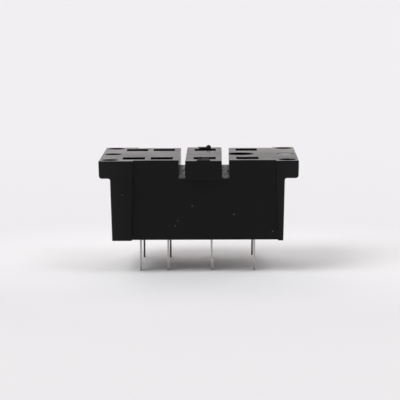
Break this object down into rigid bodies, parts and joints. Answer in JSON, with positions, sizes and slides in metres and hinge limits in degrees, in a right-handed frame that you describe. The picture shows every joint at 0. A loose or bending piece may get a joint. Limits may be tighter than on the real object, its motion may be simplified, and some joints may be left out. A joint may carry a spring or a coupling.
{
  "type": "pcb relay socket",
  "caption": "Low moulded socket that solders to a circuit board and takes a small plug-in relay, with sprung clip contacts, straight solder tails and end ears for a retaining clip.",
  "frame": {"origin": "middle of the seating face, midway between the flange's ends and between the front and rear rows", "axes": "+X along the socket from the paired columns towards the round well, +Y from the front row to the rear row, +Z from the board to the relay"},
  "size_m": [0.0294, 0.0216, 0.0174],
  "materials": {
    "housing_plastic": "black moulded thermoplastic, fine satin",
    "contact_metal": "tin-plated stamped copper alloy"
  },
  "bodies": {
    "root": {"housing": "housing_plastic", "contact_1_front": "contact_metal", "contact_2_front": "contact_metal", "contact_3_front": "contact_metal", "contact_4_front": "contact_metal", "contact_1_rear": "contact_metal", "contact_2_rear": "contact_metal", "contact_3_rear": "contact_metal", "contact_4_rear": "contact_metal"}
  },
  "joints": []
}
